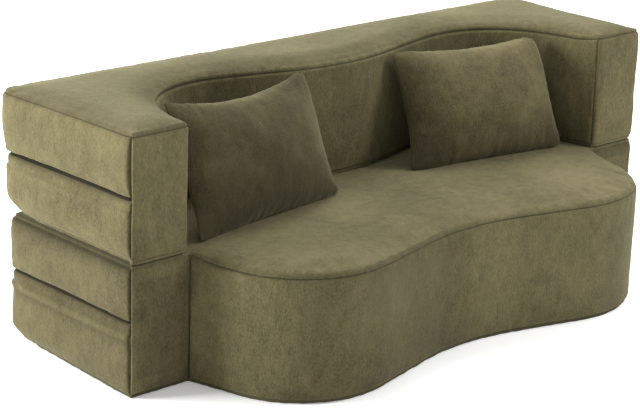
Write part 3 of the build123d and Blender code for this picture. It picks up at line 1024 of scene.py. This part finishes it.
# Throw pillows: two sheets sewn round their edge and filled, in the pillow's own axes. Each
# corner has its own shift in millimetres, as the stuffing leaves some pointed and some blunt.
pillowStyle = {
    "size": (508 * mm, 356 * mm),
    "half": 74 * mm,
    "cells": (46, 34),
    "crowding": 0.4,
    "sideBow": 9 * mm,
    "topBow": 26 * mm,
    "bottomBow": 6.5 * mm,
    "cornerRound": 10 * mm,
    "plumpness": (2.3, 0.6),
    "pressure": 4.0,
    "largestMove": 12 * mm,
    "seamLip": 1.6 * mm,
    "lipEdges": (0.2, 1.0),
    "lineEdges": (0.35, 0.8, 1.0),
    "gatherHeight": 2.4 * mm,
    "gatherLength": 15 * mm,
    "gatherStretch": (0.22, 1.0, 0.5),  # across the seam, along it and out of the cover
    "gatherStart": 10 * mm,
    "gatherReach": 34 * mm,
    "broadHeight": 2.6 * mm,
    "broadLength": 95 * mm,
    "smallHeight": 1.0 * mm,
    "smallLength": 30 * mm,
    "lumpStart": 60 * mm,
    "seamLine": 0.6,  # shade beside the seam
    "footEdges": (-0.3, 1.0),
    "endEdges": (0.55, 1.0),
    "patchShades": (0.1, 0.06),
    "fillingShare": (0.93, 0.93, 0.9),
    "footZ": 361.3 * mm,
    "fill": 0.7,
}
bottomLeft, bottomRight, topLeft, topRight = (-1, -1), (1, -1), (-1, 1), (1, 1)
# each pillow's painted shade: all over, towards its foot and at its ends
pillows = {
    "left": {
        "x": -423 * mm,
        "y": 70 * mm,
        "turn": 7.5,
        "lean": 20.5,
        "seed": 41,
        "corners": {
            topLeft: (-24, 14, -6),
            topRight: (-12, 12, 4),
            bottomRight: (32, 0, 0),
            bottomLeft: (-30, -2, 8),
        },
        "blunt": {topLeft: 0.0, topRight: 1.3, bottomRight: 2.0, bottomLeft: 0.6},
        "leftSwell": 12 * mm,
        "leftBelly": 24 * mm,
        "pile": (0.46, 0.14, 0.0),
    },
    "right": {
        "x": 434.5 * mm,
        "y": 90 * mm,
        "turn": -9.0,
        "lean": 24.0,
        "seed": 57,
        "corners": {
            topLeft: (-10, -2, 4),
            topRight: (-26, -12, 0),
            bottomRight: (8, 2, 0),
            bottomLeft: (-30, -4, 6),
        },
        "blunt": {topLeft: 1.3, topRight: 1.2, bottomRight: 1.4, bottomLeft: 1.8},
        "leftSwell": 24 * mm,
        "leftBelly": 0.0,
        "pile": (0.02, 0.3, 0.34),
    },
}


# The pillow's own axes as columns: across, upright and out of the front, about its middle
def pillowMatrix(style):
    turn, lean = math.radians(style["turn"]), math.radians(style["lean"])
    across = Vector((math.cos(turn), math.sin(turn), 0))
    backward = Vector((-math.sin(turn), math.cos(turn), 0))
    upright = backward * math.sin(lean) + Vector((0, 0, math.cos(lean)))
    foot = Vector((style["x"], foldY + style["y"], pillowStyle["footZ"]))
    matrix = Matrix((across, upright, across.cross(upright))).transposed().to_4x4()
    matrix.translation = foot + upright * (pillowStyle["size"][1] / 2)
    return matrix


# A place from -1 to 1 along a side of the grid, whose rows crowd towards the rim
def crowded(number, count):
    share = 2 * number / count - 1
    crowding = pillowStyle["crowding"]
    return math.sin(math.pi / 2 * share) * crowding + (1 - crowding) * share


# A point of the envelope: its front is side 1, its back is side -1 and its rim is side 0
def envelopePoint(style, side, u, v):
    width, height = pillowStyle["size"]
    power, root = pillowStyle["plumpness"]
    bow = pillowStyle["topBow"] if v > 0 else pillowStyle["bottomBow"]
    x = u * (width / 2 - pillowStyle["sideBow"] * (1 - v * v))
    y = v * (height / 2 - bow * (1 - u * u))
    x -= (style["leftSwell"] + style["leftBelly"] * (1 - v * v)) * max(0.0, -u) ** 3
    z = 0.0
    if side:
        z = side * pillowStyle["half"] * ((1 - abs(u) ** power) * (1 - abs(v) ** power)) ** root
    for hands, shift in style["corners"].items():
        near = max(0.0, u * hands[0]) ** 3 * max(0.0, v * hands[1]) ** 3
        x, y, z = (c + near * d * mm for c, d in zip((x, y, z), shift))
        tip = near ** 4 * pillowStyle["cornerRound"] * style["blunt"][hands]
        x, y = x - hands[0] * tip, y - hands[1] * tip
    return x, y, z


# A closed envelope of two grids that share their rim
def pillowEnvelope(name, style):
    columns, rows = pillowStyle["cells"]
    vertices = []
    rim = []
    index = {}
    for side in (1, -1):
        for j in range(rows + 1):
            for i in range(columns + 1):
                onRim = i in (0, columns) or j in (0, rows)
                if onRim and side == -1:
                    index[side, i, j] = index[1, i, j]
                    continue
                index[side, i, j] = len(vertices)
                u, v = crowded(i, columns), crowded(j, rows)
                vertices.append(envelopePoint(style, 0 if onRim else side, u, v))
                rim.append(onRim)
    faces = []
    sides = []
    for side in (1, -1):
        for j in range(rows):
            for i in range(columns):
                corners = [index[side, *c] for c in ((i, j), (i + 1, j), (i + 1, j + 1), (i, j + 1))]
                faces.append(corners if side == 1 else corners[::-1])
                sides.append(0 if side == 1 else 1)
    piece = meshObject(name, vertices, faces)
    piece.data.polygons.foreach_set("material_index", sides)
    piece.data.materials.append(None)
    piece.data.materials.append(None)
    storeValues(piece.data, "rim", rim)
    return piece


def shapePillow(piece, style):
    width, height = pillowStyle["size"]
    rim = vertexValues(piece.data, "rim") > 0.5
    inflate(piece, rim, pillowStyle["pressure"], pillowStyle["largestMove"])
    subdivide(piece, 2)
    mesh = piece.data
    places = coordinates(mesh)
    normals = vertexNormals(mesh)
    rim = vertexValues(mesh, "rim")
    # gathers run in from the seam: short along it, long across it
    u, v = 2 * places[:, 0] / width, 2 * places[:, 1] / height
    fromEnd, fromEdge = (1 - np.abs(u)) * width, (1 - np.abs(v)) * height
    across, alongSeam, deep = pillowStyle["gatherStretch"]
    atEnd = (fromEnd < fromEdge)[:, None]
    stretch = np.where(atEnd, [across, alongSeam, deep], [alongSeam, across, deep])
    gather = latticeNoise(places * stretch / pillowStyle["gatherLength"], style["seed"])
    toRim = np.minimum(fromEnd, fromEdge) / 2
    near = np.exp(-np.maximum(toRim, 0) / pillowStyle["gatherReach"])
    broad = latticeNoise(places / pillowStyle["broadLength"], style["seed"] + 2)
    small = latticeNoise(places / pillowStyle["smallLength"], style["seed"] + 3)
    lumps = pillowStyle["broadHeight"] * broad + pillowStyle["smallHeight"] * small
    out = pillowStyle["gatherHeight"] * gather * near * smoothStep(toRim, 0, pillowStyle["gatherStart"])
    out += lumps * smoothStep(toRim, 0, pillowStyle["lumpStart"])
    out += pillowStyle["seamLip"] * smoothStep(rim, *pillowStyle["lipEdges"])
    setCoordinates(mesh, places + normals * out[:, None])
    # painted shade all over, towards the foot and at the ends, with random patches of tone
    whole, foot, ends = style["pile"]
    patchesAndPaintedShade = whole + foot * smoothStep(-v, *pillowStyle["footEdges"])
    patchesAndPaintedShade += ends * smoothStep(np.abs(u), *pillowStyle["endEdges"])
    patchesAndPaintedShade += pillowStyle["patchShades"][0] * broad + pillowStyle["patchShades"][1] * small
    first, middle, last = pillowStyle["lineEdges"]
    line = pillowStyle["seamLine"] * smoothStep(rim, first, middle)
    line *= 1 - smoothStep(rim, middle, last)
    storeValues(mesh, "seamsPatchesAndPaintedShade", np.clip(np.maximum(line, patchesAndPaintedShade), 0, 1))


def makePillow(side, style):
    body = f"{side}_pillow"
    envelope = pillowEnvelope(f"{side}Envelope", style)
    shapePillow(envelope, style)
    filling = newObject(f"{side}PillowFilling", envelope.data.copy())
    setCoordinates(filling.data, coordinates(filling.data) * pillowStyle["fillingShare"])
    matrix = pillowMatrix(style)
    envelope.data.transform(matrix)
    filling.data.transform(matrix)
    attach(filling, body)
    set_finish(filling, "pillow_fibre")
    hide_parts(f"{body}_filling")
    panels = {"front": f"{body}_front_cover", "back": f"{body}_back_cover"}
    finishes = dict.fromkeys(panels, "pillow_velvet")
    return [*separatePanels(envelope, panels, body, finishes), filling]


pillowParts = [part for side, style in pillows.items() for part in makePillow(side, style)]
print("stage: pillows")


# The fabric fold at the foot of each arm, one strip sewn to both blocks: flush with their
# front faces, with one crease on the hinge line
foldStyle = {
    "innerX": 781.5 * mm,
    "outerX": 938.5 * mm,
    "columns": 48,
    "rows": 24,
    "reach": 12.5 * mm,
    "flush": 4.9 * mm,
    "creaseDepth": 3.4 * mm,
    "creaseReach": 2.0 * mm,
    "tuck": 4.5 * mm,
    "tuckStart": 7.5 * mm,
    "endTuck": 3 * mm,
    "endEdges": (0.9, 1.0),
    "upperStep": 0.9 * mm,
    "upperEdges": (0.5 * mm, 4 * mm),
    "rippleHeight": 0.35 * mm,
    "rippleLength": 12 * mm,
    "rippleStretch": (1, 1, 0.4),
    "seed": 71,
    "paintedCreaseShade": 0.8,
    "paintedUnderShade": 0.3,
}


def makeFold(side, hand):
    style = foldStyle
    columns, rows = style["columns"], style["rows"]
    heights, shares = np.mgrid[0:rows + 1, 0:columns + 1].reshape(2, -1).astype(float)
    heights = (2 * heights / rows - 1) * style["reach"]
    shares /= columns
    deep = style["creaseDepth"] * bell(heights, style["creaseReach"])
    deep += style["tuck"] * smoothStep(np.abs(heights), style["tuckStart"], style["reach"])
    deep -= style["upperStep"] * smoothStep(heights, *style["upperEdges"])
    deep += style["endTuck"] * smoothStep(np.abs(2 * shares - 1), *style["endEdges"])
    x = hand * (style["innerX"] + (style["outerX"] - style["innerX"]) * shares)
    places = np.column_stack([x, foldY + style["flush"] + deep, foldZ + heights])
    faces = []
    for j in range(rows):
        for i in range(columns):
            a = j * (columns + 1) + i
            corners = (a, a + 1, a + columns + 2, a + columns + 1)
            faces.append(corners if hand == 1 else corners[::-1])
    piece = meshObject(f"foldStrip{side.capitalize()}", places, faces)
    mesh = piece.data
    places = coordinates(mesh)
    ripple = latticeNoise(places * style["rippleStretch"] / style["rippleLength"], style["seed"])
    places[:, 1] += style["rippleHeight"] * ripple
    setCoordinates(mesh, places)
    # painted shade: dark in the crease and below it
    height = (places[:, 2] - foldZ) / style["creaseReach"]
    shade = style["paintedCreaseShade"] * bell(height, 1)
    storeValues(mesh, "seamsPatchesAndPaintedShade", np.maximum(shade, style["paintedUnderShade"] * (height < -0.5)))
    for polygon in mesh.polygons:
        polygon.use_smooth = True
    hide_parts(f"fold_leaf_seat_{side}", f"fold_leaf_back_{side}")
    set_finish(piece, "block_velvet")
    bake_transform(piece)
    return piece


folds = [makeFold("left", -1), makeFold("right", 1)]
print("stage: folds")


def srgb(code):
    channels = [int(code[i:i + 2], 16) / 255 for i in (1, 3, 5)]
    return (*[c / 12.92 if c <= 0.04045 else ((c + 0.055) / 1.055) ** 2.4 for c in channels], 1.0)


# Adds a node, sets its inputs or properties, and links other nodes' outputs to its inputs
def addNode(tree, kind, settings=None, links=None):
    made = tree.nodes.new(kind)
    for key, value in (settings or {}).items():
        if isinstance(key, str) and hasattr(made, key) and key not in made.inputs:
            setattr(made, key, value)
        else:
            made.inputs[key].default_value = value
    for key, source in (links or {}).items():
        tree.links.new(source, made.inputs[key])
    return made


def newMaterial(name):
    material = bpy.data.materials.new(name)
    material.use_nodes = True
    tree = material.node_tree
    tree.nodes.clear()
    return material, tree


# Short-pile velvet, piece-dyed olive. Patches of the brushed pile sway light and dark. Its
# strokes are the marks of a hand. The tufts and the ribs of the knitted ground are about 0.4
# and 1.2 mm in real velvet, too fine to show, so they are drawn coarser.
velvetStyle = {
    # length of one, detail, roughness and share of the colour
    "patch": (278 * mm, 3.0, 0.5, 0.33),
    "stroke": (23.8 * mm, 4.0, 0.6, 0.25),
    "tuft": (3.33 * mm, 2.0, 0.7, 0.42),
    "brushStretch": (1.0, 1.0, 0.5),
    "dark": "#413c28",
    "light": "#6a6346",
    "rampEnds": (0.36, 0.64),
    # what seams, crushed patches and painted shade darken the pile towards
    "ground": "#1d1a10",
    "ribPitch": 8.27 * mm,
    "ribShare": 0.12,
    "strokeHeight": 1.2,
    "bumpStrength": 0.6,
    "pileHeight": 1.6 * mm,
    "sheen": 0.28,
    "sheenTint": "#cfc9a4",
}


def velvet(name, style):
    material, tree = newMaterial(name)
    place = addNode(tree, "ShaderNodeTexCoord").outputs["Object"]
    brushed = addNode(
        tree, "ShaderNodeMapping", {"Scale": style["brushStretch"]}, {"Vector": place}
    ).outputs["Vector"]
    layers = {}
    total = None
    for layer, source in (("stroke", brushed), ("patch", place), ("tuft", brushed)):
        length, detail, roughness, share = style[layer]
        layers[layer] = addNode(
            tree, "ShaderNodeTexNoise",
            {"Scale": 1 / length, "Detail": detail, "Roughness": roughness}, {"Vector": source},
        ).outputs["Fac"]
        settings = {"operation": "MULTIPLY_ADD" if total else "MULTIPLY", 1: share}
        links = {0: layers[layer], 2: total} if total else {0: layers[layer]}
        total = addNode(tree, "ShaderNodeMath", settings, links).outputs[0]
    ramp = addNode(tree, "ShaderNodeValToRGB", None, {"Fac": total})
    for element, position, tone in zip(ramp.color_ramp.elements, style["rampEnds"], ("dark", "light")):
        element.position = position
        element.color = srgb(style[tone])
    # an attribute darkens the pile towards the near-black colour: dark seam lines, random crushed patches
    # and painted shade
    shade = addNode(tree, "ShaderNodeAttribute", {"attribute_name": "seamsPatchesAndPaintedShade"})
    colour = addNode(
        tree, "ShaderNodeMix", {"data_type": "RGBA", 7: srgb(style["ground"])},
        {0: shade.outputs["Fac"], 6: ramp.outputs["Color"]},
    )
    # a band texture has 20 radians to its unit
    ribs = addNode(
        tree, "ShaderNodeTexWave",
        {"wave_type": "BANDS", "bands_direction": "X", "Scale": math.pi / 10 / style["ribPitch"],
         "Distortion": 1.5, "Detail": 1.0, "Detail Scale": 2.0},
        {"Vector": place},
    )
    height = layers["tuft"]
    relief = ((ribs.outputs["Fac"], style["ribShare"]), (layers["stroke"], style["strokeHeight"]))
    for source, share in relief:
        height = addNode(
            tree, "ShaderNodeMath", {"operation": "MULTIPLY_ADD", 1: share}, {0: source, 2: height}
        ).outputs[0]
    bump = addNode(
        tree, "ShaderNodeBump", {"Strength": style["bumpStrength"], "Distance": style["pileHeight"]},
        {"Height": height},
    )
    shader = addNode(
        tree, "ShaderNodeBsdfPrincipled",
        {"Roughness": 0.95, "Specular IOR Level": 0.12, "Sheen Weight": style["sheen"],
         "Sheen Roughness": 0.42, "Sheen Tint": srgb(style["sheenTint"])},
        {"Base Color": colour.outputs[2], "Normal": bump.outputs["Normal"]},
    )
    addNode(tree, "ShaderNodeOutputMaterial", None, {"Surface": shader.outputs["BSDF"]})
    return material


# A plain finish: cloth, foam, plastic or metal, with the width and height of its grain
def plainFinish(name, colour, roughness, metallic=0.0, grain=None):
    material, tree = newMaterial(name)
    settings = {
        "Base Color": srgb(colour), "Roughness": roughness, "Metallic": metallic,
        "Specular IOR Level": 0.5 if metallic else 0.15,
    }
    links = {}
    if grain:
        noise = addNode(
            tree, "ShaderNodeTexNoise", {"Scale": 1 / grain[0], "Detail": 2.0},
            {"Vector": addNode(tree, "ShaderNodeTexCoord").outputs["Object"]},
        )
        bump = addNode(
            tree, "ShaderNodeBump", {"Strength": 0.5, "Distance": grain[1]},
            {"Height": noise.outputs["Fac"]},
        )
        links["Normal"] = bump.outputs["Normal"]
    shader = addNode(tree, "ShaderNodeBsdfPrincipled", settings, links)
    addNode(tree, "ShaderNodeOutputMaterial", None, {"Surface": shader.outputs["BSDF"]})
    return material


materials = {
    "block_velvet": velvet("oliveVelvet", velvetStyle),
    "pillow_velvet": velvet(
        "pillowVelvet",
        dict(velvetStyle, dark="#3f3926", light="#665e41", patch=(143 * mm, 3.0, 0.5, 0.33)),
    ),
    # woven polypropylene: matt, with its threads just felt
    "base_cloth": plainFinish("wovenBaseCloth", "#4a4531", 0.9, grain=(1.11 * mm, 0.4 * mm)),
    # cut polyurethane foam: chalky, with open cells
    "support_foam": plainFinish("supportFoam", "#d9cfae", 0.95, grain=(2 * mm, 0.8 * mm)),
    "comfort_foam": plainFinish("comfortFoam", "#e9e4d2", 0.95, grain=(1.43 * mm, 0.6 * mm)),
    # blown polyester fibre: white and tangled
    "pillow_fibre": plainFinish("polyesterFibre", "#eceae4", 0.95, grain=(3.33 * mm, 1.5 * mm)),
    # woven and dyed polyester tape: a dark line in the pile
    "zip_tape": plainFinish("zipTape", "#211e12", 0.95, grain=(0.67 * mm, 0.3 * mm)),
    # nylon monofilament wound to a coil: dark, with little shine
    "zip_coil": plainFinish("nylonZipCoil", "#17140c", 0.85),
    # die-cast zinc, painted and baked: smooth, with a soft gloss
    "zip_metal": plainFinish("enamelledZinc", "#4a4534", 0.35, 0.6),
    # injection-moulded acetal: smooth and waxy
    "zip_plastic": plainFinish("acetalSlider", "#453f2c", 0.45),
}
cadFinishes = {
    "zip_coil": ["seat_zip_teeth", "back_zip_teeth"],
    "zip_metal": ["seat_zip_slider", "back_zip_slider", "seat_zip_pull", "back_zip_pull"],
    "zip_tape": ["left_pillow_zip_tape", "right_pillow_zip_tape"],
    "zip_plastic": ["left_pillow_zip_slider", "right_pillow_zip_slider"],
}
finished = [(nodes[name], finish) for finish, names in cadFinishes.items() for name in names]
finished += [(part, part["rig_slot"]) for part in seatParts + backParts + foams + folds + pillowParts]
for piece, finish in finished:
    piece.data.materials.clear()
    piece.data.materials.append(materials[finish])


# Pale studio floor and soft lights, brightest from the left front
studioStyle = {
    "floorReach": 14.0,
    "floorColour": "#fbfbfa",
    "floorGlow": 0.14,
    "worldColour": "#f5f6f8",
    "worldStrength": 0.76,
    "lights": {
        "keyLight": {"place": (-4.4, 2.4, 1.7), "aim": (-0.6, 0, 0.4), "size": 1.8, "power": 400},
        "topLight": {"place": (1.4, 1.5, 3.8), "aim": (0.3, 0, 0.3), "size": 2.6, "power": 195},
        "frontLight": {"place": (2.8, -2.2, 3.2), "aim": (0.8, 0, 0.4), "size": 1.6, "power": 124},
    },
}


def addStudio():
    reach = studioStyle["floorReach"]
    corners = [(-reach, -reach, 0), (reach, -reach, 0), (reach, reach, 0), (-reach, reach, 0)]
    floor = meshObject("floor", corners, [(0, 1, 2, 3)])
    material, tree = newMaterial("paleFloor")
    shader = addNode(
        tree, "ShaderNodeBsdfPrincipled",
        {"Base Color": srgb(studioStyle["floorColour"]), "Roughness": 0.9,
         "Specular IOR Level": 0.1, "Emission Color": srgb("#ffffff"),
         "Emission Strength": studioStyle["floorGlow"]},
    )
    addNode(tree, "ShaderNodeOutputMaterial", None, {"Surface": shader.outputs["BSDF"]})
    floor.data.materials.append(material)
    world = bpy.data.worlds.new("studio")
    world.use_nodes = True
    tree = world.node_tree
    tree.nodes.clear()
    sky = {"Color": srgb(studioStyle["worldColour"]), "Strength": studioStyle["worldStrength"]}
    background = addNode(tree, "ShaderNodeBackground", sky)
    addNode(tree, "ShaderNodeOutputWorld", None, {"Surface": background.outputs["Background"]})
    scene.world = world
    for name, style in studioStyle["lights"].items():
        data = bpy.data.lights.new(name, "AREA")
        data.size = style["size"]
        data.energy = style["power"]
        light = newObject(name, data)
        light.location = style["place"]
        aim = Vector(style["aim"]) - Vector(style["place"])
        light.rotation_mode = "QUATERNION"
        light.rotation_quaternion = aim.to_track_quat("-Z", "Y")
    scene.view_settings.view_transform = "Standard"


addStudio()
print("stage: finish")
